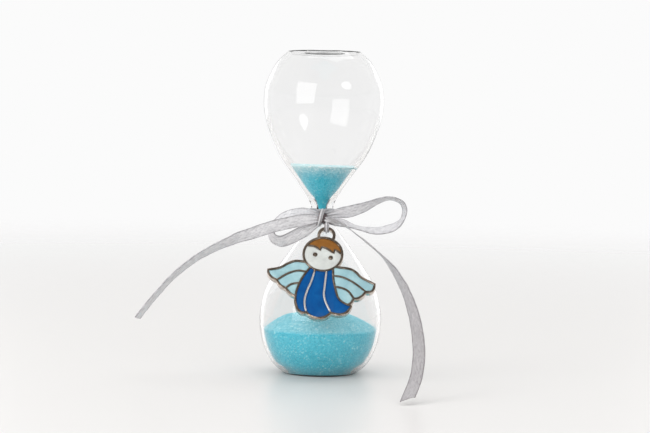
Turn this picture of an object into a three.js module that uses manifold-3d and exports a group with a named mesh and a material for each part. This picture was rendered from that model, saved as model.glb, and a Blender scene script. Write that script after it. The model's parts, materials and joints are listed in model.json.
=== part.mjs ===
import * as THREE from 'three';
import { mergeVertices } from 'three/addons/utils/BufferGeometryUtils.js';
import Module from 'manifold-3d';

// A small blown-glass hourglass with a ribbon bow and an enamelled charm on its waist.
// Millimetres. +Z is up, the origin is the middle of the flat base, and the front faces -Y.

const height = 80;
const bulbWall = 0.85;
const extraWaistWall = 0.95;
const waistHeight = 40.7;
const waistSpread = 2.6;
const fillHoleRadius = 5.2;
const sealRadius = 4.9;
const clearance = 0.3;

const upperSandTop = 51.7;
const upperSandTip = 40.9;
const lowerSandRim = 11;
const lowerSandPeak = 15.3;

const ribbonWidth = 3;
const ribbonThickness = 0.4;
const wrapRadius = 3.3;
const wrapBottom = 38;
const knotCentre = [0.4, -5.4, 38.9];
const knotHalfSize = [1.3, 1.5, 1.6];

const charmLean = THREE.MathUtils.degToRad(27);
const ringCentre = [1.2, -8.2, 34.6];
const plateThickness = 1.8;
const pocketDepth = 0.5;
const lineWidth = 0.4;
const rimWidth = 0.32;
const enamelGap = 0.08;
const ringRadius = 1.9;
const ringWidth = 0.7;
const ringThickness = 1.0;
const strandRadius = 1.0;
const strandThickness = 0.3;
const strandWidthFactor = 2;

const headCentre = [-0.8, -5.2];
const headHalfSize = [4.7, 4.35];
const eyeCentres = [[-2.7, -5.3], [1.1, -6.1]];
const eyeRadius = 0.5;
const outlineStep = 0.6;

const latheSides = 32;

const wasm = await Module();
wasm.setup();

function material(color, roughness, metalness = 0) {
  return new THREE.MeshStandardMaterial({ color, roughness, metalness });
}

const clearGlass = material(0xdfe9e6, 0.05);
const dyedSand = material(0x5bbfcb, 0.9);
const greyRibbon = material(0xc3c1c7, 0.7);
const platedZinc = material(0x9a8f84, 0.35, 0.9);
const brownEnamel = material(0x8f5a26, 0.2);
const whiteEnamel = material(0xdadfdc, 0.2);
const blueEnamel = material(0x00539f, 0.2);
const tealEnamel = material(0x9cc5ce, 0.2);

function piece(name, geometry, finish) {
  const mesh = new THREE.Mesh(geometry, finish);
  mesh.name = name;
  return mesh;
}

// Booleans work on solids with shared vertices.

function toSolid(geometry) {
  const plain = geometry.clone();
  plain.deleteAttribute('normal');
  plain.deleteAttribute('uv');
  const merged = mergeVertices(plain, 1e-4);
  return new wasm.Manifold(new wasm.Mesh({
    numProp: 3,
    vertProperties: new Float32Array(merged.attributes.position.array),
    triVerts: new Uint32Array(merged.index.array),
  }));
}

function toGeometry(solid) {
  const mesh = solid.getMesh();
  const geometry = new THREE.BufferGeometry();
  geometry.setAttribute('position', new THREE.BufferAttribute(mesh.vertProperties, 3));
  geometry.setIndex(new THREE.BufferAttribute(mesh.triVerts, 1));
  geometry.computeVertexNormals();
  return geometry;
}

function turned(profile) {
  return new THREE.LatheGeometry(profile, latheSides).rotateX(Math.PI / 2);
}

// Glass: the outside is one curve from the edge of the base to the edge of the flat top.

const outside = new THREE.SplineCurve([
  [9.2, 0], [12.2, 2.7], [14.4, 7.4], [15.2, 13.75], [14.2, 19.5], [12.6, 23.25], [10.6, 26.5],
  [7.1, 31.5], [3.7, 36.25], [2.8, 39.5], [3.1, 42.5], [6.1, 47.5], [10.7, 54], [13.5, 60.25],
  [14.8, 65.25], [14.7, 70.75], [13, 75.25], [11.4, 77.75], [9, height],
].map(([radius, z]) => new THREE.Vector2(radius, z)));

function insidePoint(t) {
  const point = outside.getPoint(t);
  const along = outside.getTangent(t);
  const fromWaist = (point.y - waistHeight) / waistSpread;
  const wall = bulbWall + extraWaistWall * Math.exp(-fromWaist * fromWaist);
  return new THREE.Vector2(point.x - along.y * wall, point.y + along.x * wall);
}

const profileSteps = 28;
const steps = Array.from({ length: profileSteps + 1 }, (_, i) => i / profileSteps);
const outsidePoints = steps.map((t) => outside.getPoint(t));
const insidePoints = steps.map(insidePoint);
const floorHeight = insidePoints[0].y;
const ceilingHeight = insidePoints[profileSteps].y;

function insideRadius(z) {
  const above = insidePoints.findIndex((point) => point.y >= z);
  const high = insidePoints[Math.max(above, 1)];
  const low = insidePoints[Math.max(above, 1) - 1];
  return THREE.MathUtils.mapLinear(z, low.y, high.y, low.x, high.x);
}

function glassParts() {
  const body = turned([
    new THREE.Vector2(0, 0),
    ...outsidePoints,
    new THREE.Vector2(fillHoleRadius, height),
    new THREE.Vector2(fillHoleRadius, ceilingHeight),
    ...insidePoints.toReversed(),
    new THREE.Vector2(0, floorHeight),
  ]);
  const sealHeight = height - ceilingHeight;
  const seal = new THREE.CylinderGeometry(sealRadius, sealRadius, sealHeight, latheSides)
    .rotateX(Math.PI / 2)
    .translate(0, 0, height - sealHeight / 2);
  return [piece('glass_body', body, clearGlass), piece('fill_seal', seal, clearGlass)];
}

// Sand: each heap fills the glass up to its rim, just clear of the wall.

function sandHeap(bottom, rim, surface) {
  const wallSteps = 12;
  const wall = Array.from({ length: wallSteps + 1 }, (_, i) => {
    const z = THREE.MathUtils.lerp(bottom, rim, i / wallSteps);
    return new THREE.Vector2(insideRadius(z) - clearance, z);
  });
  const top = surface.map(([share, z]) => new THREE.Vector2(share * wall[wallSteps].x, z));
  return turned([new THREE.Vector2(0, bottom), ...wall, ...top]);
}

function sandParts() {
  const upper = sandHeap(upperSandTip, upperSandTop, [
    [0.7, upperSandTop + 0.3],
    [0.3, upperSandTop + 0.4],
    [0, upperSandTop + 0.4],
  ]);
  const lower = sandHeap(floorHeight + clearance, lowerSandRim, [
    [0.93, lowerSandRim + 0.7],
    [0.8, lowerSandRim + 1.9],
    [0.6, lowerSandRim + 3.2],
    [0.35, lowerSandPeak - 0.3],
    [0, lowerSandPeak],
  ]);
  return [piece('upper_sand', upper, dyedSand), piece('lower_sand', lower, dyedSand)];
}

// Ribbon: a flat strip along a route of x, y, z and the turn of its face in degrees.
// At turn 0 the face looks to the front, and at 90 the strip is edge-on from the front.

const stripSteps = 40;
const backward = new THREE.Vector3(0, 1, 0);

function ribbonStrip(route) {
  const path = new THREE.CatmullRomCurve3(route.map(([x, y, z]) => new THREE.Vector3(x, y, z)));
  const turns = new THREE.CatmullRomCurve3(route.map((row) => new THREE.Vector3(row[3], 0, 0)));
  const geometry = new THREE.BoxGeometry(ribbonWidth, ribbonThickness, 1, 1, 1, stripSteps);
  const corners = geometry.attributes.position;
  for (let i = 0; i < corners.count; i += 1) {
    const t = corners.getZ(i) + 0.5;
    const turn = THREE.MathUtils.degToRad(turns.getPoint(t).x);
    const along = path.getTangent(t);
    const depth = backward.clone().addScaledVector(along, -along.y).normalize();
    const side = along.clone().cross(depth);
    const across = side.multiplyScalar(Math.cos(turn)).addScaledVector(depth, Math.sin(turn));
    const facing = along.clone().cross(across);
    const corner = path.getPoint(t)
      .addScaledVector(across, corners.getX(i))
      .addScaledVector(facing, corners.getY(i));
    corners.setXYZ(i, corner.x, corner.y, corner.z);
  }
  geometry.computeVertexNormals();
  return geometry;
}

const leftTailRoute = [
  [-1.4, -7, 38.7, 0], [-4.2, -7.6, 38.4, 5], [-6.6, -8.1, 38, 10], [-9, -8.6, 37.5, 10],
  [-11.5, -9, 36.9, 10], [-14.6, -9.4, 35.9, 10], [-17.5, -9.7, 34.9, 20], [-20, -9.9, 34.1, 32],
  [-22.4, -10, 33.1, 42], [-24.8, -10, 32, 50], [-27.3, -10, 30.7, 56], [-29.7, -10, 29.3, 60],
  [-32.1, -10, 27.6, 62], [-34.6, -10, 25.6, 64], [-37, -10, 23.3, 66], [-39.4, -10, 20.6, 67],
  [-41.8, -10, 17.7, 68], [-43.5, -10, 15.5, 68], [-44.7, -10, 13.8, 68],
];

const rightTailRoute = [
  [2.2, -7.6, 38.5, -20], [4, -9.1, 38.2, -58], [6, -10.8, 37.2, -72], [8.3, -12.6, 35.6, -78],
  [10.7, -14.6, 33.8, -80], [13, -17, 32, -78], [15.3, -19.6, 29.8, -68], [17.2, -22.3, 27.6, -60],
  [18.8, -25, 25.2, -55], [20.1, -28.5, 22.7, -50], [21.1, -32, 20, -42], [21.9, -35.5, 17.1, -34],
  [22.4, -39, 14, -28], [22.6, -42, 10.9, -26], [22.4, -44.5, 8.5, -26], [21.9, -47, 5.9, -28],
  [21.1, -49.1, 3.8, -32], [20.3, -51.1, 2.3, -34], [19.7, -53.1, 1.3, -36],
];

const leftLoopRoute = [
  [-1.4, -5, 39.6, -10], [-3, -5.1, 39.9, -20], [-5.4, -5.2, 39.9, -30], [-7.9, -5.2, 39.5, -40],
  [-10.1, -5, 38.4, -50], [-11.7, -4.8, 36.9, -60], [-12.4, -4.9, 35.1, -60],
  [-11.8, -5.4, 33.6, -45], [-10, -5.8, 33, -25], [-8.1, -6, 33.6, -12], [-5.8, -6.1, 34.8, -5],
  [-3.5, -6.1, 36.1, 0], [-1.6, -6.1, 37.3, 0],
];

const rightLoopRoute = [
  [2.3, -5, 39.9, -15], [4.4, -5.1, 40.2, -15], [6.9, -5.3, 40.6, -20], [9.3, -5.5, 41.4, -30],
  [11.8, -5.6, 42.4, -50], [13.8, -5.6, 43.3, -62], [16.2, -5.5, 44, -72], [18.2, -5.2, 43.7, -74],
  [19.7, -5, 42.9, -72], [20.4, -5, 41.2, -70], [20, -5.4, 39.2, -76], [18.8, -5.8, 37.7, -66],
  [16.8, -6.2, 36.6, -54], [14.4, -6.4, 36, -58], [11.9, -6.4, 36.1, -66], [9.4, -6.4, 36.5, -74],
  [7, -6.3, 37.2, -72], [4.5, -6, 37.9, -45], [2.6, -5.8, 38.1, -10],
];

function ribbonParts() {
  const wrap = turned([
    new THREE.Vector2(wrapRadius, wrapBottom),
    new THREE.Vector2(wrapRadius + ribbonThickness, wrapBottom),
    new THREE.Vector2(wrapRadius + ribbonThickness, wrapBottom + ribbonWidth),
    new THREE.Vector2(wrapRadius, wrapBottom + ribbonWidth),
    new THREE.Vector2(wrapRadius, wrapBottom),
  ]);
  const knot = new THREE.SphereGeometry(1, 18, 12).scale(...knotHalfSize).translate(...knotCentre);
  return [
    piece('ribbon_neck_wrap', wrap, greyRibbon),
    piece('ribbon_knot', knot, greyRibbon),
    piece('ribbon_left_loop', ribbonStrip(leftLoopRoute), greyRibbon),
    piece('ribbon_right_loop', ribbonStrip(rightLoopRoute), greyRibbon),
    piece('ribbon_left_tail', ribbonStrip(leftTailRoute), greyRibbon),
    piece('ribbon_right_tail', ribbonStrip(rightTailRoute), greyRibbon),
  ];
}

// Charm: drawn flat, with x to the right, y up and z out of its face, from the middle of the
// cast ring. Outlines are runs of smooth edges, and cells share the lines between them.

function smoothEdge(...points) {
  const curve = new THREE.SplineCurve(points.map(([x, y]) => new THREE.Vector2(x, y)));
  return curve.getSpacedPoints(Math.ceil(curve.getLength() / outlineStep));
}

// Joins edges end to end, keeping each shared end once.
function outline(...edges) {
  const points = edges.flat();
  return points.filter((point, i) => point.distanceTo(points.at(i - 1)) > 0.01);
}

function arcOutline([x, y], [halfWidth, halfHeight]) {
  const arc = new THREE.EllipseCurve(x, y, halfWidth, halfHeight, 0, 2 * Math.PI);
  return arc.getPoints(30).slice(0, -1);
}

// Positive distances shrink an outline and negative ones grow it.
function shrunk(points, distance) {
  const turn = THREE.ShapeUtils.isClockWise(points) ? -1 : 1;
  return points.map((point, i) => {
    const before = points[(i + points.length - 1) % points.length];
    const after = points[(i + 1) % points.length];
    const along = after.clone().sub(before).normalize();
    return new THREE.Vector2(
      point.x - along.y * distance * turn,
      point.y + along.x * distance * turn,
    );
  });
}

function prism(points, bottom, depth) {
  const shape = new THREE.Shape(points);
  const geometry = new THREE.ExtrudeGeometry(shape, { depth, bevelEnabled: false });
  return toSolid(geometry.translate(0, 0, bottom));
}

const headOutline = arcOutline(headCentre, headHalfSize);

const fringe = [
  ...smoothEdge([-8, -3], [-5, -2.9], [-2.8, -3.2], [-1.5, -4.1]),
  ...smoothEdge([-1.1, -3.3], [0.2, -3.7], [1.8, -4.9]),
  ...smoothEdge([2.1, -3.9], [3.3, -4.7], [5, -5.9], [8, -6.3]),
];
const hairOutline = [...fringe, new THREE.Vector2(8, 1), new THREE.Vector2(-8, 1)];

const wingLines = {
  left: [
    smoothEdge([-3.4, -7.6], [-7.2, -7.1], [-9.4, -7.9], [-11.3, -9], [-14, -9.5]),
    smoothEdge([-3.6, -10.2], [-4.7, -9.9], [-6.2, -9.6], [-7.7, -9.8], [-9.6, -10.6], [-11.8, -12.1]),
    smoothEdge([-5, -12.8], [-6.4, -12.8], [-8.4, -13.2], [-9.6, -14.2]),
    smoothEdge([-5.8, -15.2], [-7.4, -16.1]),
  ],
  right: [
    smoothEdge([1.4, -8.4], [3.5, -8.7], [5.7, -9], [7.2, -9.8], [8.7, -11.3], [11.8, -12.9]),
    smoothEdge([0.8, -10.8], [1.8, -10.8], [3.8, -11.1], [5.7, -11.9], [7.7, -13.2], [9.6, -14.8]),
    smoothEdge([1.1, -13.8], [2.3, -13.7], [4, -14], [5.5, -14.8], [6.8, -16.6]),
    smoothEdge([3.2, -18.2], [4.8, -18.2]),
  ],
};

const featherTips = {
  left: [
    smoothEdge([-14, -9.5], [-13.8, -10.6], [-12.8, -11.6], [-11.8, -12.1]),
    smoothEdge([-11.8, -12.1], [-11, -13.4], [-9.6, -14.2]),
    smoothEdge([-9.6, -14.2], [-8.9, -15.1], [-8.2, -15.8], [-7.4, -16.1]),
  ],
  right: [
    smoothEdge([11.8, -12.9], [11.6, -14], [10.9, -14.8], [9.6, -14.8]),
    smoothEdge([9.6, -14.8], [8.9, -15.8], [7.7, -16.6], [6.8, -16.6]),
    smoothEdge([6.8, -16.6], [6.2, -17.7], [5.5, -18.2], [4.8, -18.2]),
  ],
};

const robeEdges = [
  smoothEdge([-3, -7.6], [-5.2, -10.6], [-6.5, -13.2], [-7.2, -15.8], [-7.2, -17.9], [-6.7, -19.5]),
  smoothEdge([-2.2, -7.6], [-3.5, -12.4], [-4.5, -15], [-5, -17.2], [-4.9, -19], [-4.5, -20.4]),
  smoothEdge([0.3, -7.6], [-0.2, -13.2], [-0.4, -15.8], [0.1, -17.9], [1.3, -20.4]),
  smoothEdge([1.7, -7.6], [1.8, -11.3], [2.3, -14], [3, -16.4], [4.2, -17.7], [6.2, -18.7]),
];

const hems = [
  smoothEdge([-6.7, -19.5], [-5.7, -20.4], [-4.5, -20.4]),
  smoothEdge([-4.5, -20.4], [-3.3, -21.4], [-1.6, -21.8], [0.1, -21.4], [1.3, -20.4]),
  smoothEdge([1.3, -20.4], [3.3, -20.8], [5, -20.3], [6.2, -18.7]),
];

function featherOutline(side, i) {
  const lines = wingLines[side];
  return outline(lines[i], featherTips[side][i], lines[i + 1].toReversed());
}

function robeOutline(i) {
  return outline(robeEdges[i], hems[i], robeEdges[i + 1].toReversed());
}

const robeSilhouette = outline(robeEdges[0], ...hems, robeEdges[3].toReversed());

// Each cell lies under the outlines listed with it, the way the head lies over the robe.

const headCells = [
  { name: 'hair', outline: headOutline, finish: brownEnamel },
  { name: 'face', outline: headOutline, finish: whiteEnamel },
];
const robeCells = ['left', 'middle', 'right'].map((name, i) => ({
  name: `robe_${name}`,
  outline: robeOutline(i),
  under: [headOutline],
  finish: blueEnamel,
}));
const wingCells = ['left', 'right'].flatMap((side) => ['upper', 'middle', 'lower'].map((name, i) => ({
  name: `${side}_wing_${name}`,
  outline: featherOutline(side, i),
  under: [headOutline, robeSilhouette],
  finish: tealEnamel,
})));
const enamelCells = [...headCells, ...robeCells, ...wingCells];

// A cell of enamel, kept a margin away from the middle of the lines round it.
function cellSolid(cell, margin, bottom, depth) {
  const solid = prism(shrunk(cell.outline, margin), bottom, depth);
  if (cell.name === 'hair') {
    return solid.intersect(prism(shrunk(hairOutline, margin), bottom, depth));
  }
  if (cell.name === 'face') {
    const eyes = eyeCentres.map((centre) => {
      const radius = eyeRadius + margin - lineWidth / 2;
      return prism(arcOutline(centre, [radius, radius]), bottom, depth);
    });
    const hair = prism(shrunk(hairOutline, -margin), bottom, depth);
    return eyes.reduce((rest, eye) => rest.subtract(eye), solid.subtract(hair));
  }
  return cell.under.reduce(
    (rest, over) => rest.subtract(prism(shrunk(over, -margin), bottom, depth)),
    solid,
  );
}

function castRing() {
  const inner = ringRadius - ringWidth / 2;
  const outer = ringRadius + ringWidth / 2;
  const bottom = (plateThickness - ringThickness) / 2;
  const hole = prism(arcOutline([0, 0], [inner, inner]), 0, plateThickness);
  return prism(arcOutline([0, 0], [outer, outer]), bottom, ringThickness).subtract(hole);
}

function charmPlate() {
  const silhouettes = [headOutline, robeSilhouette, ...wingCells.map((cell) => cell.outline)];
  const blank = silhouettes
    .map((points) => prism(shrunk(points, -rimWidth), 0, plateThickness))
    .reduce((whole, part) => whole.add(part), castRing());
  const pocketFloor = plateThickness - pocketDepth;
  return enamelCells.reduce(
    (rest, cell) => rest.subtract(cellSolid(cell, lineWidth / 2, pocketFloor, plateThickness)),
    blank,
  );
}

function enamelFill(cell) {
  const bottom = plateThickness - pocketDepth + enamelGap;
  return cellSolid(cell, lineWidth / 2 + enamelGap, bottom, pocketDepth - enamelGap);
}

function charmParts() {
  const group = new THREE.Group();
  group.rotation.x = Math.PI / 2 - charmLean;
  group.position.set(...ringCentre);
  const fills = enamelCells.map((cell) => (
    piece(`enamel_${cell.name}`, toGeometry(enamelFill(cell)), cell.finish)
  ));
  for (const flatPart of [piece('charm_plate', toGeometry(charmPlate()), platedZinc), ...fills]) {
    flatPart.position.z = -plateThickness / 2;
    group.add(flatPart);
  }
  const strand = piece(
    'ribbon_charm_strand',
    new THREE.TorusGeometry(strandRadius, strandThickness, 8, 20)
      .rotateY(Math.PI / 2)
      .scale(strandWidthFactor, 1, 1)
      .translate(0, ringRadius, 0),
    greyRibbon,
  );
  group.add(strand);
  return group;
}

const group = new THREE.Group();
group.add(...glassParts(), ...sandParts(), ...ribbonParts(), charmParts());
group.updateMatrixWorld(true);

export default group;
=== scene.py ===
"""A small blown-glass hourglass with a ribbon bow and an enamelled charm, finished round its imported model."""
import json
import math

import bmesh
import bpy
from mathutils import Matrix, Vector, noise


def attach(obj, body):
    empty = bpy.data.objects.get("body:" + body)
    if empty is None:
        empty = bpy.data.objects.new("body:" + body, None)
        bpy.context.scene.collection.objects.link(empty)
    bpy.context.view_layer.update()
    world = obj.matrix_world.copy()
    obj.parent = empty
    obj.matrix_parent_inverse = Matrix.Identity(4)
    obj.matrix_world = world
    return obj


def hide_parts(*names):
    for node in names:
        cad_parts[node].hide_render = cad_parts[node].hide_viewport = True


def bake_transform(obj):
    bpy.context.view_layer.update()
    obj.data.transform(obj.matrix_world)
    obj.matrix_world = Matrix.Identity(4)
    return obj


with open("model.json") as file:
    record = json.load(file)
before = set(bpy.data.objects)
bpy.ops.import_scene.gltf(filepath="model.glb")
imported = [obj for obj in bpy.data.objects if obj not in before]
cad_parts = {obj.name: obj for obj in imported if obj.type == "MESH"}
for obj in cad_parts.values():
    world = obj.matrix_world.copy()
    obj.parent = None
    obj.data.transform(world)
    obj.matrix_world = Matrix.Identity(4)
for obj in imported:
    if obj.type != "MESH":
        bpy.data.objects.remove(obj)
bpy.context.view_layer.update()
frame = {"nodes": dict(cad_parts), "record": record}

MM = 0.001
BACKWARD = Vector((0, 1, 0))


# ---------------------------------------------------------------- small tools

def linear(hex_colour):
    """An sRGB hex value as the linear red, green, blue and alpha that Blender wants."""
    shares = [int(hex_colour[i:i + 2], 16) / 255 for i in (1, 3, 5)]
    return [s / 12.92 if s <= 0.04045 else ((s + 0.055) / 1.055) ** 2.4 for s in shares] + [1]


def add_node(tree, kind, settings):
    """One shader node. A setting is an input's name or number, or one of the node's own options,
    and its value is a plain value or the output that feeds it."""
    node = tree.nodes.new("ShaderNode" + kind)
    for name, value in settings.items():
        if isinstance(name, str) and hasattr(node, name):
            setattr(node, name, value)
        elif isinstance(value, bpy.types.NodeSocket):
            tree.links.new(value, node.inputs[name])
        else:
            node.inputs[name].default_value = value
    return node


def new_material(name):
    material = bpy.data.materials.new(name)
    material.use_nodes = True
    material.node_tree.nodes.clear()
    return material, material.node_tree


def show_surface(tree, shader):
    add_node(tree, "OutputMaterial", {"Surface": shader.outputs[0]})


def ramp(tree, factor, stops):
    """A colour ramp from (position, hex colour) stops."""
    node = add_node(tree, "ValToRGB", {"Fac": factor})
    elements = node.color_ramp.elements
    while len(elements) < len(stops):
        elements.new(0.5)
    for element, (position, colour) in zip(elements, stops):
        element.position = position
        element.color = linear(colour)
    return node.outputs["Color"]


def spline(points, steps):
    """Points at even steps along the smooth curve through the given points."""
    spans = len(points) - 1
    out = []
    for step in range(steps + 1):
        place = step / steps * spans
        i = min(int(place), spans - 1)
        t = place - i
        near = [points[min(max(i + k, 0), spans)] for k in (-1, 0, 1, 2)]
        out.append(tuple(
            0.5 * (2 * b + (c - a) * t + (2 * a - 5 * b + 4 * c - d) * t ** 2
                   + (3 * b - a - 3 * c + d) * t ** 3)
            for a, b, c, d in zip(*near)
        ))
    return out


def new_piece(name, corners, faces, material, body, uv=None, crease_shade=None):
    """A smooth mesh that rides on a body, if one is named. uv gives each corner its place on the
    cloth, and the crease shade gives each corner its painted shade, where 1 is as dark as the bottom of a fold."""
    mesh = bpy.data.meshes.new(name)
    mesh.from_pydata(corners, [], faces)
    mesh.update()
    if uv:
        layer = mesh.uv_layers.new(name="cloth")
        for loop in mesh.loops:
            layer.data[loop.index].uv = uv[loop.vertex_index]
    if crease_shade:
        mesh.attributes.new("painted_crease_shade", "FLOAT", "POINT").data.foreach_set("value", crease_shade)
    mesh.shade_smooth()
    mesh.materials.append(material)
    piece = bpy.data.objects.new(name, mesh)
    bpy.context.scene.collection.objects.link(piece)
    if body:
        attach(piece, body)
    return piece


def lathe(profile, sides, shape=lambda radius, angle, z: (radius, z)):
    """Corners and faces of a profile of radius and height turned round Z. A radius of 0 closes
    an end, and shape may move each corner."""
    corners, rings, faces = [], [], []
    for radius, z in profile:
        ring = []
        for side in range(sides if radius > 0 else 1):
            angle = 2 * math.pi * side / sides
            r, height = shape(radius, angle, z)
            ring.append(len(corners))
            corners.append((r * math.cos(angle), r * math.sin(angle), height))
        rings.append(ring)
    for low, high in zip(rings, rings[1:]):
        for side in range(sides):
            after = (side + 1) % sides
            face = [low[side % len(low)], low[after % len(low)],
                    high[after % len(high)], high[side % len(high)]]
            faces.append(list(dict.fromkeys(face)))
    return corners, faces


def corners_and_faces(mesh):
    """A bmesh's corners and faces as plain lists. The bmesh is used up."""
    mesh.verts.index_update()
    corners = [vertex.co.copy() for vertex in mesh.verts]
    faces = [[vertex.index for vertex in face.verts] for face in mesh.faces]
    mesh.free()
    return corners, faces


def sharpen(piece, degrees):
    """Keeps edges sharper than this crisp under smooth shading."""
    mesh = bmesh.new()
    mesh.from_mesh(piece.data)
    for edge in mesh.edges:
        edge.smooth = edge.calc_face_angle(0) < math.radians(degrees)
    mesh.to_mesh(piece.data)
    mesh.free()


# ---------------------------------------------------------------- camera and cords

def place_camera():
    """A long lens in front of the glass, a little above the bow and leaning by a degree."""
    data = bpy.data.cameras.new("camera")
    data.lens = 100
    data.sensor_width = 36
    camera = bpy.data.objects.new("camera", data)
    bpy.context.scene.collection.objects.link(camera)
    camera.location = Vector((0.75, -450, 60)) * MM
    aim = Vector((0.75, 0, 39)) * MM
    lean = Matrix.Rotation(math.radians(0.97), 4, "Z")
    turn = (aim - camera.location).to_track_quat("-Z", "Y").to_matrix().to_4x4()
    camera.rotation_euler = (turn @ lean).to_euler()
    bpy.context.scene.camera = camera


RIBBON_WIDTH = 3 * MM
RIBBON_THICKNESS = 0.16 * MM
SELVEDGE = 0.12 * MM
RIBBON_STEPS = 120
RIBBON_COLUMNS = 12

# In millimetres: how far the ribbon bows across its width, and how high its ripples stand.
CROWN = 0.12
RIPPLE = 0.14

# The knot gathers the last stretch of ribbon to a share of its width, in this many half waves.
GATHERED_LENGTH = 5 * MM
GATHERED_SHARE = 0.4
PLEAT_WAVES = 5

# How much of a free end is drawn out by a slanting cut.
SLANTED_LENGTH = 4 * MM

# Each route is x, y, z in metres and the turn of the ribbon's face in degrees: at 0 it looks
# to the front, and at 90 it is edge-on. All start inside the knot, and the loops end there too.
LEFT_TAIL = [
    (0.0002, -0.0061, 0.0388, 0), (-0.0014, -0.007, 0.0387, 0), (-0.0042, -0.0076, 0.0384, 5),
    (-0.0066, -0.0081, 0.038, 10), (-0.009, -0.0086, 0.0375, 10), (-0.0115, -0.009, 0.0369, 10),
    (-0.0146, -0.0094, 0.0359, 10), (-0.0175, -0.0097, 0.0349, 20), (-0.02, -0.0099, 0.0341, 32),
    (-0.0224, -0.01, 0.0331, 42), (-0.0248, -0.01, 0.032, 50), (-0.0273, -0.01, 0.0307, 56),
    (-0.0297, -0.01, 0.0293, 60), (-0.0321, -0.01, 0.0276, 62), (-0.0346, -0.01, 0.0256, 64),
    (-0.037, -0.01, 0.0233, 66), (-0.0394, -0.01, 0.0206, 67), (-0.0418, -0.01, 0.0177, 68),
    (-0.0435, -0.01, 0.0155, 68), (-0.0447, -0.01, 0.0138, 68),
]
RIGHT_TAIL = [
    (0.001, -0.0063, 0.0387, -20), (0.0022, -0.0076, 0.0385, -40), (0.004, -0.0091, 0.0382, -70),
    (0.006, -0.0108, 0.0372, -82), (0.0083, -0.0126, 0.0356, -88), (0.0107, -0.0146, 0.0338, -90),
    (0.013, -0.017, 0.032, -88), (0.0153, -0.0196, 0.0298, -78), (0.0172, -0.0223, 0.0276, -64),
    (0.0188, -0.025, 0.0252, -55), (0.0201, -0.0285, 0.0227, -50), (0.0211, -0.032, 0.02, -42),
    (0.0219, -0.0355, 0.0171, -34), (0.0224, -0.039, 0.014, -28), (0.0226, -0.042, 0.0109, -26),
    (0.0224, -0.0445, 0.0085, -26), (0.0219, -0.047, 0.0059, -28), (0.0211, -0.0491, 0.0038, -32),
    (0.0203, -0.0511, 0.0023, -34), (0.0197, -0.0531, 0.0013, -36),
]
LEFT_LOOP = [
    (0.0002, -0.0049, 0.0393, 0), (-0.0014, -0.005, 0.0396, -10), (-0.003, -0.0051, 0.0399, -20),
    (-0.0054, -0.0052, 0.0399, -30), (-0.0079, -0.0052, 0.0395, -40), (-0.0101, -0.005, 0.0384, -50),
    (-0.0117, -0.0048, 0.0369, -60), (-0.0124, -0.0049, 0.0351, -60), (-0.0118, -0.0054, 0.0336, -45),
    (-0.01, -0.0058, 0.033, -25), (-0.0081, -0.006, 0.0336, -12), (-0.0058, -0.0061, 0.0348, -5),
    (-0.0035, -0.0061, 0.0361, 0), (-0.0016, -0.0061, 0.0373, 0), (0.0002, -0.006, 0.0382, 0),
]
RIGHT_LOOP = [
    (0.0006, -0.0049, 0.0395, -10), (0.0023, -0.005, 0.0399, -15), (0.0044, -0.0051, 0.0402, -15),
    (0.0069, -0.0053, 0.0406, -20), (0.0093, -0.0055, 0.0414, -30), (0.0118, -0.0056, 0.0424, -50),
    (0.0138, -0.0056, 0.0433, -62), (0.0162, -0.0055, 0.044, -72), (0.0182, -0.0052, 0.0437, -74),
    (0.0197, -0.005, 0.0429, -72), (0.0204, -0.005, 0.0412, -70), (0.02, -0.0054, 0.0392, -76),
    (0.0188, -0.0058, 0.0377, -66), (0.0168, -0.0062, 0.0366, -54), (0.0144, -0.0064, 0.036, -58),
    (0.0119, -0.0064, 0.0361, -66), (0.0094, -0.0064, 0.0365, -74), (0.007, -0.0063, 0.0372, -72),
    (0.0045, -0.006, 0.0379, -45), (0.0026, -0.0058, 0.0381, -10), (0.0008, -0.0057, 0.0383, 0),
]


def ribbon_section():
    """Places across the ribbon, as share of its width and half thickness, once round: flat
    cloth with a slightly fatter woven edge."""
    front = []
    for column in range(RIBBON_COLUMNS + 1):
        share = column / RIBBON_COLUMNS - 0.5
        edge = max(0, 1 - (0.5 - abs(share)) * RIBBON_WIDTH / (2 * SELVEDGE))
        front.append((share, RIBBON_THICKNESS / 2 + edge * SELVEDGE / 3))
    return front + [(share, -half) for share, half in reversed(front)]


def ribbon_frames(route):
    """Where the ribbon is, which way it runs, which way its width lies and the way it faces."""
    rows = spline(route, RIBBON_STEPS)
    places = [Vector(row[:3]) for row in rows]
    frames = []
    for i, row in enumerate(rows):
        along = (places[min(i + 1, RIBBON_STEPS)] - places[max(i - 1, 0)]).normalized()
        depth = (BACKWARD - along * along.y).normalized()
        turn = math.radians(row[3])
        across = along.cross(depth) * math.cos(turn) + depth * math.sin(turn)
        frames.append((places[i], along, across, along.cross(across)))
    return frames


def gathered_share(from_knot, to_knot):
    """How wide the ribbon still is at these distances from the knot, as a share of its width."""
    eased = min(1, from_knot / GATHERED_LENGTH, to_knot / GATHERED_LENGTH)
    return GATHERED_SHARE + (1 - GATHERED_SHARE) * eased


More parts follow.
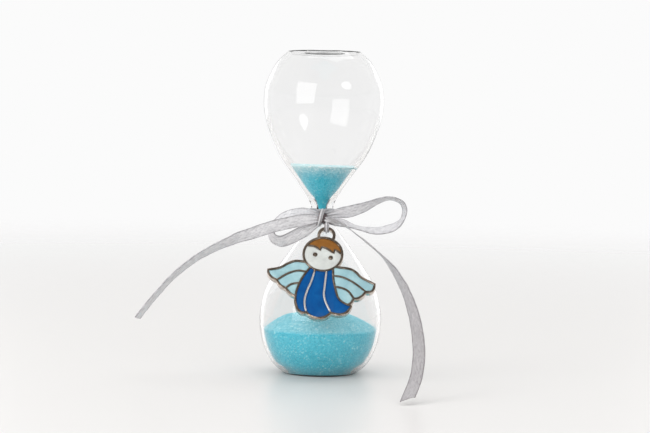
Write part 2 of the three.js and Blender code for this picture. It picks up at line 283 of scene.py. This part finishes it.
def ribbon_strip(name, route, material, goes_back, pleat_height=0.6, dulling=0, cut=0):
    """A strip of the bow's ribbon and the line that it follows. It bows across its width, ripples
    a little, and is gathered in pleats where it comes from the knot and where it goes back in.
    Its painted shade greys it towards its far end, and cut is how far that end slants."""
    section = ribbon_section()
    frames = ribbon_frames(route)
    travelled = [0]
    for before, after in zip(frames, frames[1:]):
        travelled.append(travelled[-1] + (after[0] - before[0]).length)
    length = travelled[-1]
    corners, uv, crease_shade, faces = [], [], [], []
    for gone, (place, along, across, facing) in zip(travelled, frames):
        dull = dulling * min(1, 0.3 + gone / length)
        slant = cut * max(0, (gone - length) / SLANTED_LENGTH + 1) ** 2
        gather = gathered_share(gone, length - gone if goes_back else math.inf)
        for share, half in section:
            wave = noise.noise(Vector((share * 2.2, gone / MM * 0.35, len(name))))
            pleat = (1 - gather) * math.cos(share * math.pi * PLEAT_WAVES)
            rise = (CROWN * (1 - 4 * share ** 2) + RIPPLE * wave + pleat_height * pleat) * MM
            corner = place + across * share * RIBBON_WIDTH * gather + facing * (rise + half)
            corners.append(corner + along * share * slant)
            uv.append((share * RIBBON_WIDTH / MM, gone / MM))
            # Painted shade: darker where the ribbon is gathered at the knot and in the hollows of its pleats,
            # plus the painted shade towards the far end.
            crease_shade.append(min(1, dull + 0.27 * (1 - gather) - 0.18 * pleat))
    ring = len(section)
    for i in range(RIBBON_STEPS):
        for k in range(ring):
            a, b = i * ring + k, i * ring + (k + 1) % ring
            faces.append([b, a, a + ring, b + ring])
    faces.append(list(range(ring)))
    faces.append(list(reversed(range(RIBBON_STEPS * ring, (RIBBON_STEPS + 1) * ring))))
    strip = new_piece(name, corners, faces, material, "bow", uv, crease_shade)
    sharpen(strip, 60)
    return strip, [frame_row[0] for frame_row in frames]


def free_ribbon(node, route, material, far_end, **looks):
    """One free stretch of the bow, in place of its plain strip. far_end is what the cord's far
    end meets: bare, or the object when it goes back into the knot."""
    strip, path = ribbon_strip(node + "_cloth", route, material, far_end == "object", **looks)
    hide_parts(node)


# ---------------------------------------------------------------- materials

CHARM_LEAN = math.radians(27)
INTO_THE_PLATE = Vector((0, math.cos(CHARM_LEAN), -math.sin(CHARM_LEAN)))

# The spacing of a wave texture's bands at scale 1.
WAVE_SPACING = 0.314


def sheer_ribbon():
    """Silver-grey polyamide organza ribbon, plain woven with a satin yarn: fine crossing threads,
    a soft sheen, blotches about 0.4 mm wide and 1.3 mm long where the threads bunch, and a darker
    woven edge. The threads are drawn 0.35 mm apart, about twice as coarse as real ones, so that
    they show. Its uv map is in millimetres."""
    material, tree = new_material("silver_organza_ribbon")
    thread_spacing = 0.35
    cloth = add_node(tree, "UVMap", {"uv_map": "cloth"})
    axes = add_node(tree, "SeparateXYZ", {"Vector": cloth.outputs["UV"]})
    weft = add_node(tree, "TexWave", {
        "Vector": cloth.outputs["UV"], "bands_direction": "Y", "Scale": WAVE_SPACING / thread_spacing,
        "Distortion": 0.8, "Detail": 1, "Detail Scale": 2})
    warp = add_node(tree, "TexWave", {
        "Vector": cloth.outputs["UV"], "bands_direction": "X", "Scale": WAVE_SPACING / thread_spacing,
        "Distortion": 0.6, "Detail": 1, "Detail Scale": 2})
    threads = add_node(tree, "Math", {
        "operation": "MULTIPLY", 0: weft.outputs["Fac"], 1: warp.outputs["Fac"]})
    along_cloth = add_node(tree, "Mapping", {"Vector": cloth.outputs["UV"], "Scale": (1.6, 0.5, 1)})
    bunching = add_node(tree, "TexNoise", {
        "Vector": along_cloth.outputs[0], "Scale": 1.5, "Detail": 3, "Roughness": 0.6,
        "Distortion": 0.6})
    from_middle = add_node(tree, "Math", {"operation": "ABSOLUTE", 0: axes.outputs["X"]})
    woven_edge = add_node(tree, "MapRange", {
        "Value": from_middle.outputs[0], "From Min": 1.1, "From Max": 1.45, "To Min": 0, "To Max": 0.3})
    tone = add_node(tree, "Math", {
        "operation": "MULTIPLY_ADD", 0: threads.outputs[0], 1: 0.35, 2: bunching.outputs["Fac"]})
    shaded = add_node(tree, "Math", {
        "operation": "SUBTRACT", 0: tone.outputs[0], 1: woven_edge.outputs[0]})
    colour = ramp(tree, shaded.outputs[0],
                  [(0.2, "#979598"), (0.45, "#C5C4C7"), (0.65, "#DCDBDD"), (0.9, "#F0EFF0")])
    # Painted shade: the ribbon is mixed towards a dark brown-grey by the painted shade each corner carries, in
    # folds, pleats, the knot and towards the right tail's far end.
    depth = add_node(tree, "Attribute", {"attribute_name": "painted_crease_shade"})
    shade = add_node(tree, "Math", {"operation": "MULTIPLY", 0: depth.outputs["Fac"], 1: 0.8})
    colour = add_node(tree, "Mix", {
        "data_type": "RGBA", "Factor": shade.outputs[0], 6: colour, 7: linear("#564A4B")}).outputs[2]
    bump = add_node(tree, "Bump", {
        "Strength": 0.35, "Distance": 0.05 * MM, "Height": tone.outputs[0]})
    cloth_shader = add_node(tree, "BsdfPrincipled", {
        "Base Color": colour, "Roughness": 0.55, "Sheen Weight": 0.35, "Sheen Roughness": 0.4,
        "Normal": bump.outputs["Normal"]})
    show_surface(tree, cloth_shader)
    return material


def blown_glass():
    """Clear borosilicate tube, blown and fire-polished: near colourless, very smooth, with faint
    waves from the lathe, about 11 mm long, that bend what shows through it."""
    material, tree = new_material("blown_borosilicate_glass")
    place = add_node(tree, "TexCoord", {})
    waves = add_node(tree, "TexNoise", {
        "Vector": place.outputs["Object"], "Scale": 0.09 / MM, "Detail": 1, "Roughness": 0.4})
    bump = add_node(tree, "Bump", {
        "Strength": 0.12, "Distance": 0.4 * MM, "Height": waves.outputs["Fac"]})
    glass = add_node(tree, "BsdfPrincipled", {
        "Base Color": linear("#FAFAFA"), "Roughness": 0, "IOR": 1.47, "Transmission Weight": 1,
        "Normal": bump.outputs["Normal"]})
    show_surface(tree, glass)
    return material


def dyed_sand():
    """Sieved quartz sand dyed turquoise, about 0.2 mm grains: matt, each grain a little lighter
    or darker, in clumps about 3 mm across, and a few clear faces that glint. Grains are drawn
    0.3 mm across, so they show."""
    material, tree = new_material("dyed_quartz_sand")
    grain = 0.3 * MM
    place = add_node(tree, "TexCoord", {})
    grains = add_node(tree, "TexVoronoi", {
        "Vector": place.outputs["Object"], "Scale": 1 / grain, "Randomness": 1})
    hue = add_node(tree, "SeparateColor", {"Color": grains.outputs["Color"]})
    clumps = add_node(tree, "TexNoise", {
        "Vector": place.outputs["Object"], "Scale": 0.35 / MM, "Detail": 2, "Roughness": 0.6})
    spread = add_node(tree, "MapRange", {
        "Value": clumps.outputs["Fac"], "From Min": 0, "From Max": 1, "To Min": 0.2, "To Max": 0.42})
    tone = add_node(tree, "Math", {
        "operation": "MULTIPLY_ADD", 0: hue.outputs["Red"], 1: 0.5, 2: spread.outputs[0]})
    wet = ramp(tree, tone.outputs[0],
               [(0.2, "#2AADC6"), (0.5, "#3FC4DA"), (0.76, "#55D0E3"), (0.86, "#B3ECF3")])
    # Painted light: the sand is mixed towards a pale, near-white tone where its top is painted lighter.
    painted_top_light = add_node(tree, "Attribute", {"attribute_name": "painted_top_light"})
    pale = ramp(tree, tone.outputs[0],
                [(0.2, "#9CD8DF"), (0.5, "#BCE4E8"), (0.7, "#DCF0F2"), (0.8, "#FAFEFE")])
    colour = add_node(tree, "Mix", {
        "data_type": "RGBA", "Factor": painted_top_light.outputs["Fac"], 6: wet, 7: pale}).outputs[2]
    glint = add_node(tree, "MapRange", {
        "Value": hue.outputs["Green"], "From Min": 0.9, "From Max": 0.97, "To Min": 0.85, "To Max": 0.25})
    bump = add_node(tree, "Bump", {
        "Strength": 0.7, "Distance": 0.12 * MM, "Height": grains.outputs["Distance"]})
    sand = add_node(tree, "BsdfPrincipled", {
        "Base Color": colour, "Roughness": glint.outputs[0], "Specular IOR Level": 0.3,
        "Normal": bump.outputs["Normal"]})
    show_surface(tree, sand)
    return material


def silver_plate(name, stain_and_front_shade, worn, painted_edge_light, dullest):
    """Cast zinc with thin antiqued silver plating, with cloudy tarnish about 1 mm across. It is brown-grey on
    its face, partly stain and partly painted shade, and bright round its edges, as painted reflection. Its
    three colours run from the stained, shaded face to the lit edges, and dullest is its roughness in the stain."""
    material, tree = new_material(name)
    place = add_node(tree, "TexCoord", {})
    tarnish = add_node(tree, "TexNoise", {
        "Vector": place.outputs["Object"], "Scale": 0.9 / MM, "Detail": 5, "Roughness": 0.7})
    # Painted shade and reflection: the face turned to the front is painted darker, and the sides and back
    # brighter.
    turned = add_node(tree, "VectorMath", {
        "operation": "DOT_PRODUCT", 0: place.outputs["Normal"], 1: INTO_THE_PLATE})
    tarnish_and_painted_facing = add_node(tree, "Math", {
        "operation": "MULTIPLY_ADD", 0: turned.outputs["Value"], 1: 0.22, 2: tarnish.outputs["Fac"]})
    colour = ramp(tree, tarnish_and_painted_facing.outputs[0], [(0.12, stain_and_front_shade), (0.36, worn), (0.56, painted_edge_light)])
    dullness = add_node(tree, "MapRange", {
        "Value": tarnish.outputs["Fac"], "From Min": 0.3, "From Max": 0.7,
        "To Min": dullest, "To Max": dullest / 2})
    bump = add_node(tree, "Bump", {
        "Strength": 0.2, "Distance": 0.03 * MM, "Height": tarnish.outputs["Fac"]})
    metal = add_node(tree, "BsdfPrincipled", {
        "Base Color": colour, "Metallic": 1, "Roughness": dullness.outputs[0],
        "Normal": bump.outputs["Normal"]})
    show_surface(tree, metal)
    return material


def soft_enamel(name, dark, main, light):
    """Soft enamel, a pigmented resin poured into a cell and baked: a soft gloss over a gently
    waved top, and a colour that is a little deeper in clouds about 2.4 mm across, where the
    pigment settled."""
    material, tree = new_material(name)
    place = add_node(tree, "TexCoord", {})
    clouds = add_node(tree, "TexNoise", {
        "Vector": place.outputs["Object"], "Scale": 0.42 / MM, "Detail": 4, "Roughness": 0.6})
    colour = ramp(tree, clouds.outputs["Fac"], [(0.3, dark), (0.5, main), (0.75, light)])
    ripple = add_node(tree, "TexNoise", {
        "Vector": place.outputs["Object"], "Scale": 0.26 / MM, "Detail": 1})
    bump = add_node(tree, "Bump", {
        "Strength": 0.15, "Distance": 0.1 * MM, "Height": ripple.outputs["Fac"]})
    enamel = add_node(tree, "BsdfPrincipled", {
        "Base Color": colour, "Roughness": 0.3, "Specular IOR Level": 0.12,
        "Coat Weight": 0.08, "Coat Roughness": 0.05,
        "Normal": bump.outputs["Normal"]})
    show_surface(tree, enamel)
    return material


# ---------------------------------------------------------------- glass and sand

# The glass and the sand are worked out in millimetres.
HEIGHT = 80
BULB_WALL = 0.85
EXTRA_WAIST_WALL = 0.95
WAIST_HEIGHT = 40.7
WAIST_SPREAD = 2.6
SEAL_RADIUS = 5.0
SEAL_GAP = 0.04
GLASS_SIDES = 128
GLASS_STEPS = 150

# Radius and height of the outside, from the edge of the base to the top's.
GLASS_OUTSIDE = [
    (9.2, 0), (12.2, 2.7), (14.4, 7.4), (15.2, 13.75), (14.2, 19.5), (12.6, 23.25), (10.6, 26.5),
    (7.1, 31.5), (3.7, 36.25), (2.8, 39.5), (3.1, 42.5), (6.1, 47.5), (10.7, 54), (13.5, 60.25),
    (14.8, 65.25), (14.7, 70.75), (13, 75.25), (11.4, 77.75), (9, HEIGHT),
]
outside_line = spline(GLASS_OUTSIDE, GLASS_STEPS)


def inside_of(i):
    """The inner wall's point behind a point of the outside."""
    radius, z = outside_line[i]
    before, after = outside_line[max(i - 1, 0)], outside_line[min(i + 1, GLASS_STEPS)]
    run, rise = after[0] - before[0], after[1] - before[1]
    slope = math.hypot(run, rise)
    from_waist = (z - WAIST_HEIGHT) / WAIST_SPREAD
    wall = BULB_WALL + EXTRA_WAIST_WALL * math.exp(-from_waist ** 2)
    return radius - rise / slope * wall, z + run / slope * wall


inside_line = [inside_of(i) for i in range(GLASS_STEPS + 1)]
FLOOR_HEIGHT = inside_line[0][1]
CEILING_HEIGHT = inside_line[-1][1]


def inside_radius(z):
    for low, high in zip(inside_line, inside_line[1:]):
        if low[1] <= z <= high[1]:
            share = (z - low[1]) / max(high[1] - low[1], 1e-6)
            return low[0] + (high[0] - low[0]) * share
    return inside_line[0][0]


def outside_radius(z):
    return min(outside_line, key=lambda point: abs(point[1] - z))[0]


def in_metres(profile):
    return [(radius * MM, z * MM) for radius, z in profile]


def glass_pieces(material):
    """The blown body with its ground flats, and the disc that seals the filling hole."""
    profile = [(0, 0), (4, 0), (8.8, 0), *outside_line, (8.7, HEIGHT), (SEAL_RADIUS, HEIGHT),
               (SEAL_RADIUS, CEILING_HEIGHT), *reversed(inside_line), (7, FLOOR_HEIGHT),
               (0, FLOOR_HEIGHT)]
    body = new_piece("glass_bulbs", *lathe(in_metres(profile), GLASS_SIDES), material, "glass")
    sharpen(body, 35)
    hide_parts("glass_body")
    body.visible_shadow = False
    rim = SEAL_RADIUS - SEAL_GAP
    profile = [(0, CEILING_HEIGHT + 0.1), (rim - 0.3, CEILING_HEIGHT + 0.05), (rim, CEILING_HEIGHT + 0.2),
               (rim, HEIGHT - 0.12), (rim - 0.15, HEIGHT), (0, HEIGHT)]
    seal = new_piece("filling_seal", *lathe(in_metres(profile), GLASS_SIDES), material, "glass")
    sharpen(seal, 35)
    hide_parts("fill_seal")
    seal.visible_shadow = False


SAND_SIDES = 160
WALL_STEPS = 46
TOP_STEPS = 40
AIR_AT_THE_WALL = 0.06
UPPER_SAND_RIM = 51.8
LOWER_SAND_RIM = 11


def sand_heap(name, node, material, bottom, rim, surface, unevenness, paleness):
    """A heap that fills the glass from bottom to rim, a hair clear of the wall. surface is its
    height by share of the rim's radius, and paleness how far it is painted paler by height, as painted light on
    its top."""
    wall = []
    for step in range(WALL_STEPS + 1):
        z = bottom + (rim - bottom) * step / WALL_STEPS
        wall.append((max(inside_radius(z) - AIR_AT_THE_WALL, 0.2), z))
    edge = wall[-1][0]
    top = [(edge * (1 - step / TOP_STEPS), None) for step in range(1, TOP_STEPS + 1)]

    def shape(radius, angle, z):
        x, y = radius * math.cos(angle), radius * math.sin(angle)
        grains = noise.noise(Vector((x, y, bottom)) * 2.6) * 0.12
        if z is None:
            return radius, surface(radius / edge) + grains + unevenness(x, y)
        near_rim = max(0, (z - rim + 0.8) / 0.8)
        return radius, z + near_rim * (unevenness(x, y) + grains)

    corners, faces = lathe([(0, bottom)] + wall + top, SAND_SIDES, shape)
    heap = new_piece(name, [Vector(corner) * MM for corner in corners], faces, material, "glass")
    painted_top_light = heap.data.attributes.new("painted_top_light", "FLOAT", "POINT")
    painted_top_light.data.foreach_set("value", [paleness(corner[2]) for corner in corners])
    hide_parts(node)


def nearly_level(share):
    return UPPER_SAND_RIM + 0.1 * (1 - share ** 2)


def mound(share):
    return LOWER_SAND_RIM + 4.3 * (1 - share ** 2.6)


def slight_slope(x, y):
    return -0.022 * x + 0.1 * noise.noise(Vector((x, y, 3)) * 0.5)


def soft_dips(x, y):
    return 0.35 * noise.noise(Vector((x, y, 7)) * 0.22)


# Painted light: the upper sand is painted paler towards its top, nearly white at the rim.
def pale_towards_the_top(z):
    return max(0, (z - 48) / 3.8) ** 2


# Painted light: the top of the mound is painted a little paler.
def pale_on_the_mound(z):
    return 0.3 * max(0, min(1, (z - 10.9) / 0.5))


def sand_pieces(material):
    """Sand to the rim in both bulbs, nearly level above and heaped below."""
    sand_heap("sand_in_upper_bulb", "upper_sand", material, WAIST_HEIGHT, UPPER_SAND_RIM,
              nearly_level, slight_slope, pale_towards_the_top)
    sand_heap("sand_in_lower_bulb", "lower_sand", material, FLOOR_HEIGHT + 0.1, LOWER_SAND_RIM,
              mound, soft_dips, pale_on_the_mound)


# ---------------------------------------------------------------- bow

# The band round the waist, in millimetres.
WRAP_BOTTOM = 38.1
WRAP_TOP = 41.0
WRAP_ROWS = 24
WRAP_SIDES = 96


def neck_wrap(material):
    """Two gathered turns of ribbon, drawn tight round the waist."""
    front, back = [], []
    for row in range(WRAP_ROWS + 1):
        share = row / WRAP_ROWS
        z = WRAP_BOTTOM + (WRAP_TOP - WRAP_BOTTOM) * share
        snug = outside_radius(z) + 0.1
        fold = 0.22 * abs(math.sin(share * math.pi * 4)) + 0.14 * math.sin(share * math.pi)
        front.append((snug + 0.18 + fold, z))
        back.append((snug, z))

    def shape(radius, angle, z):
        crease = noise.noise(Vector((math.cos(angle) * 2, math.sin(angle) * 2, z / MM * 1.6)))
        return radius + 0.07 * MM * crease, z + 0.12 * MM * math.sin(angle * 2 + z / MM)

    # The profile ends where it starts, so its last ring is the first one again.
    corners, faces = lathe(in_metres(front + back[::-1] + front[:1]), WRAP_SIDES, shape)
    once = len(corners) - WRAP_SIDES
    corners = corners[:once]
    faces = [[k % once for k in face] for face in faces]
    uv = [(z / MM, math.atan2(y, x) * 3) for x, y, z in corners]
    wrap = new_piece("ribbon_turns_round_waist", corners, faces, material, "bow", uv)
    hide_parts("ribbon_neck_wrap")


BAND_STEPS = 72
BAND_COLUMNS = 14
BAND_HALF_THICKNESS = 0.09


def ribbon_band(name, centre, half_size, width, tilt, material, body, phase):
    """A closed gathered band of ribbon round a point, as a turn of the knot is. half_size is how
    far it reaches forward and up and width how far sideways, in millimetres. tilt leans it in
    degrees, and phase moves its pleats."""
    corners, uv, crease_shade, faces = [], [], [], []
    turn = Matrix.Rotation(math.radians(tilt), 3, "Y")
    for i in range(BAND_STEPS):
        angle = 2 * math.pi * i / BAND_STEPS
        out = Vector((0, -math.cos(angle), math.sin(angle)))
        place = Vector((0, out.y * half_size[0], out.z * half_size[1]))
        for k in range(2 * BAND_COLUMNS):
            outer = k < BAND_COLUMNS
            column = k if outer else 2 * BAND_COLUMNS - 1 - k
            share = column / (BAND_COLUMNS - 1) - 0.5
            pleat = math.cos(share * 13 + phase + 0.5 * math.sin(angle * 2)) * 0.18
            bulge = 0.5 * (1 - 4 * share ** 2)
            crease = noise.noise(Vector((share * 5 + phase, math.cos(angle) * 2, math.sin(angle) * 2)))
            height = pleat + bulge + 0.1 * crease + (BAND_HALF_THICKNESS if outer else -BAND_HALF_THICKNESS)
            across = Vector((share * width, 0, 0))
            corners.append(centre + turn @ (place + across + out * height) * MM)
            uv.append((share * 3, angle * half_size[1]))
            # Painted shade: darker in the hollows of the pleats and towards the band's two edges.
            crease_shade.append(max(0, min(1, 0.5 - pleat * 3.2 + (abs(share) - 0.3) * 3)))
    ring = 2 * BAND_COLUMNS
    for i in range(BAND_STEPS):
        here, ahead = i * ring, (i + 1) % BAND_STEPS * ring
        for k in range(ring):
            after = (k + 1) % ring
            faces.append([here + k, here + after, ahead + after, ahead + k])
    return new_piece(name, corners, faces, material, body, uv, crease_shade)


KNOT_CENTRE = Vector((0.4, -5.5, 38.8)) * MM

# In deeper shade than the bottom of a fold, which is 1.
CORE_SHADE = 1.25


def knot(material):
    """A crumpled core, deep in shade, with two turns of the ribbon drawn over it."""
    ball = bmesh.new()
    bmesh.ops.create_uvsphere(ball, u_segments=48, v_segments=32, radius=1)
    for vertex in ball.verts:
        rough = 1 + 0.16 * noise.noise(vertex.co * 2.3) + 0.05 * math.sin(vertex.co.x * 14)
        vertex.co = vertex.co * Vector((1.15, 1.25, 1.45)) * rough * MM + KNOT_CENTRE
    corners, faces = corners_and_faces(ball)
    uv = [((corner.x - KNOT_CENTRE.x) / MM, (corner.z - KNOT_CENTRE.z) / MM) for corner in corners]
    shade = [CORE_SHADE] * len(corners)
    core = new_piece("knot_core", corners, faces, material, "bow", uv, shade)
    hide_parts("ribbon_knot")
    left = KNOT_CENTRE + Vector((-0.85, -0.1, 0.1)) * MM
    right = KNOT_CENTRE + Vector((1.35, -0.1, -0.5)) * MM
    left_turn = ribbon_band("knot_turn_left", left, (1.4, 1.7), 1.25, 14, material, "bow", 0.4)
    right_turn = ribbon_band("knot_turn_right", right, (1.05, 0.85), 1.6, -74, material, "bow", 1.7)


# ---------------------------------------------------------------- charm

RING_CENTRE = Vector((1.2, -8.2, 34.6)) * MM
RING_RADIUS = 1.9 * MM
UP_THE_PLATE = Vector((0, math.sin(CHARM_LEAN), math.cos(CHARM_LEAN)))


def charm_strand(material):
    """The gathered strand that holds the charm: down from the knot, through the ring and back."""
    centre = RING_CENTRE + UP_THE_PLATE * (RING_RADIUS + 0.4 * MM)
    strand = ribbon_band("charm_hanging_strand", centre, (0.62, 0.85), 1.15, 0, material, None, 0.6)
    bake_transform(strand)
    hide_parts("ribbon_charm_strand")


def softened_copy(node, name, edge_radius, material):
    """A copy of a flat cast or poured piece, with its hard edges rounded over."""
    source = frame["nodes"][node]
    mesh = bmesh.new()
    mesh.from_mesh(source.data)
    bmesh.ops.remove_doubles(mesh, verts=mesh.verts, dist=1e-6)
    bmesh.ops.dissolve_limit(mesh, angle_limit=math.radians(2), verts=mesh.verts, edges=mesh.edges)
    piece = new_piece(name, *corners_and_faces(mesh), material, "charm")
    bevel = piece.modifiers.new("edges", "BEVEL")
    bevel.width = edge_radius
    bevel.segments = 3
    bevel.limit_method = "ANGLE"
    bevel.angle_limit = math.radians(40)
    bevel.harden_normals = True
    apply_modifiers(piece)
    sharpen(piece, 50)
    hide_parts(node)
    return piece


def apply_modifiers(piece):
    bpy.context.view_layer.update()
    evaluated = piece.evaluated_get(bpy.context.evaluated_depsgraph_get())
    finished = bpy.data.meshes.new_from_object(evaluated)
    piece.modifiers.clear()
    piece.data = finished


# The raised lines between the robe's panels, in millimetres right of the ring's centre and down
# the plate from it.
ROBE_FOLDS = [
    [(-2.75, 9.8), (-3.5, 12.4), (-4.5, 15), (-5, 17.2), (-4.9, 19), (-4.6, 20.2)],
    [(0.13, 9.6), (-0.2, 13.2), (-0.4, 15.8), (0.1, 17.9), (1.2, 20.2)],
]
PLATE_HALF_THICKNESS = 0.9
FOLD_RADIUS = 0.27
FOLD_SUNK = 0.06
FOLD_SIDES = 12
FOLD_STEPS = 60

# The share of a fold's length over which each of its ends thins out.
FOLD_TAPER = 1 / 12


def fold_ridge(name, points, material):
    """A cast half-round line standing up from the plate, thinner at its two ends."""
    line = spline(points, FOLD_STEPS)
    corners, faces = [], []
    for i, (right, down) in enumerate(line):
        before, after = line[max(i - 1, 0)], line[min(i + 1, FOLD_STEPS)]
        run, drop = after[0] - before[0], after[1] - before[1]
        sideways = (Vector((run, 0, 0)) - UP_THE_PLATE * drop).normalized().cross(INTO_THE_PLATE)
        from_end = min(i, FOLD_STEPS - i) / FOLD_STEPS
        thin = math.sqrt(max(0.02, min(1, from_end / FOLD_TAPER)))
        middle = Vector((right, 0, 0)) - UP_THE_PLATE * down
        middle -= INTO_THE_PLATE * (PLATE_HALF_THICKNESS - FOLD_SUNK)
        for k in range(FOLD_SIDES):
            angle = 2 * math.pi * k / FOLD_SIDES
            out = sideways * math.cos(angle) - INTO_THE_PLATE * math.sin(angle)
            corners.append(RING_CENTRE + (middle + out * FOLD_RADIUS * thin) * MM)
    for i in range(FOLD_STEPS):
        for k in range(FOLD_SIDES):
            a, b = i * FOLD_SIDES + k, i * FOLD_SIDES + (k + 1) % FOLD_SIDES
            faces.append([a, b, b + FOLD_SIDES, a + FOLD_SIDES])
    faces.append(list(reversed(range(FOLD_SIDES))))
    faces.append(list(range(FOLD_STEPS * FOLD_SIDES, (FOLD_STEPS + 1) * FOLD_SIDES)))
    ridge = new_piece(name, corners, faces, material, "charm")


# How far the poured enamel lies below the top of its cell.
ENAMEL_SUNK = 0.12 * MM


def charm_pieces():
    """The cast plate with its two robe folds, and the enamel in each of its cells."""
    silver = silver_plate("antiqued_silver_plate", "#685A4E", "#A09183", "#E2D6CB", 0.32)
    # Painted highlight: the robe folds are painted near white, as highlights along them.
    highlight_silver = silver_plate("silver_plate_painted_highlight", "#E2DCD6", "#F0ECE8", "#FBFAF8", 0.44)
    for name, points in zip(("robe_fold_left", "robe_fold_right"), ROBE_FOLDS):
        fold_ridge(name, points, highlight_silver)
    plate = softened_copy("charm_plate", "charm_cast_plate", 0.14 * MM, silver)
    finishes = {
        "brown_enamel": soft_enamel("brown_soft_enamel", "#7F5322", "#8C5C28", "#9A6A34"),
        "white_enamel": soft_enamel("white_soft_enamel", "#C4C7C4", "#CDD0CC", "#D7DAD6"),
        "blue_enamel": soft_enamel("blue_soft_enamel", "#004786", "#004E8E", "#06599A"),
        "teal_enamel": soft_enamel("pale_teal_soft_enamel", "#8FB6BE", "#9CC1C8", "#AFD0D5"),
    }
    for row in frame["record"]["subparts"]:
        if row["node"].startswith("enamel_"):
            slot = row["material_slot"]
            fill = softened_copy(row["node"], row["node"] + "_fill", 0.06 * MM, finishes[slot])
            fill.data.transform(Matrix.Translation(INTO_THE_PLATE * ENAMEL_SUNK))


# ---------------------------------------------------------------- studio

TABLE_HALF_SIZE = 1.6
BACKDROP_DISTANCE = 0.8

# The table lies a hair below the ground base, so that the two faces don't fight.
TABLE_DROP = 0.02 * MM


def satin_board():
    """Painted board with a soft satin reflection, fading into the backdrop further off."""
    material, tree = new_material("white_satin_board")
    place = add_node(tree, "TexCoord", {})
    far = add_node(tree, "VectorMath", {"operation": "LENGTH", 0: place.outputs["Object"]})
    fade = add_node(tree, "MapRange", {
        "interpolation_type": "SMOOTHSTEP", "Value": far.outputs["Value"],
        "From Min": 0, "From Max": BACKDROP_DISTANCE, "To Min": 0, "To Max": 1})
    board = add_node(tree, "BsdfPrincipled", {
        "Base Color": linear("#DBD9D7"), "Roughness": 0.34, "Specular IOR Level": 0.5})
    nothing = add_node(tree, "BsdfTransparent", {})
    surface = add_node(tree, "MixShader", {
        0: fade.outputs[0], 1: board.outputs[0], 2: nothing.outputs[0]})
    show_surface(tree, surface)
    return material


def table_top():
    half = TABLE_HALF_SIZE
    corners = [(x, y, -TABLE_DROP) for x, y in ((-half, -half), (half, -half), (half, half), (-half, half))]
    mesh = bpy.data.meshes.new("table_top")
    mesh.from_pydata(corners, [], [(0, 1, 2, 3)])
    mesh.materials.append(satin_board())
    table = bpy.data.objects.new("table_top", mesh)
    bpy.context.scene.collection.objects.link(table)


def white_room():
    """A pale room, darker to the front, with a white backdrop where it is seen straight or
    through glass."""
    world = bpy.data.worlds.new("studio")
    bpy.context.scene.world = world
    world.use_nodes = True
    tree = world.node_tree
    tree.nodes.clear()
    looking = add_node(tree, "TexCoord", {})
    axes = add_node(tree, "SeparateXYZ", {"Vector": looking.outputs["Generated"]})
    backness = add_node(tree, "MapRange", {
        "Value": axes.outputs["Y"], "From Min": -0.7, "From Max": 0.5, "To Min": 0, "To Max": 1})
    room = add_node(tree, "Background", {
        "Color": ramp(tree, backness.outputs[0], [(0, "#8E8E8E"), (1, "#F4F4F4")])})
    backdrop = add_node(tree, "Background", {"Color": linear("#FBFBFB")})
    ray = add_node(tree, "LightPath", {})
    straight_through = add_node(tree, "Math", {
        "operation": "MAXIMUM", 0: ray.outputs["Is Camera Ray"], 1: ray.outputs["Is Transmission Ray"]})
    shown = add_node(tree, "MixShader", {
        0: straight_through.outputs[0], 1: room.outputs[0], 2: backdrop.outputs[0]})
    add_node(tree, "OutputWorld", {"Surface": shown.outputs[0]})


# Each lamp's name, its direction from the glass, its distance and size in metres, and its watts.
LAMPS = [
    ("front_left_box", (-0.56, -0.77, 0.30), 0.9, 0.62, 2.2),
    ("front_right_lamp", (0.66, -0.61, 0.50), 0.9, 0.3, 0.55),
    ("high_left_box", (-0.85, -0.35, 0.75), 0.9, 0.45, 1.8),
    ("top_box", (0.1, 0.25, 1.0), 0.9, 0.7, 2.4),
    ("back_left_box", (-0.5, 0.87, 0.15), 0.9, 0.4, 0.5),
    ("back_right_box", (0.5, 0.87, 0.15), 0.9, 0.4, 0.5),
    ("front_fill", (0.1, -0.9, 0.42), 1.0, 1.1, 4.5),
]
ROUND_LAMPS = ("front_right_lamp",)
SEEN_THROUGH_GLASS = ("front_left_box", "front_right_lamp")
NEVER_REFLECTED = ("front_fill", "high_left_box")
MIDDLE_OF_THE_GLASS = Vector((0, 0, 35)) * MM


def soft_lamps():
    for name, direction, distance, size, power in LAMPS:
        data = bpy.data.lights.new(name, "AREA")
        data.shape = "DISK" if name in ROUND_LAMPS else "SQUARE"
        data.size = size
        data.energy = power
        lamp = bpy.data.objects.new(name, data)
        bpy.context.scene.collection.objects.link(lamp)
        lamp.location = MIDDLE_OF_THE_GLASS + Vector(direction).normalized() * distance
        lamp.rotation_euler = (lamp.location - MIDDLE_OF_THE_GLASS).to_track_quat("Z", "Y").to_euler()
        lamp.visible_camera = False
        lamp.visible_transmission = name in SEEN_THROUGH_GLASS
        lamp.visible_glossy = name not in NEVER_REFLECTED


place_camera()
organza = sheer_ribbon()
free_ribbon("ribbon_left_tail", LEFT_TAIL, organza, "bare")
free_ribbon("ribbon_right_tail", RIGHT_TAIL, organza, "bare", pleat_height=0.3, dulling=0.66,
            cut=-2.1 * MM)
free_ribbon("ribbon_left_loop", LEFT_LOOP, organza, "object")
free_ribbon("ribbon_right_loop", RIGHT_LOOP, organza, "object")
neck_wrap(organza)
knot(organza)
charm_strand(organza)
glass_pieces(blown_glass())
sand_pieces(dyed_sand())
charm_pieces()
table_top()
white_room()
soft_lamps()
bpy.context.scene.view_settings.view_transform = "Standard"
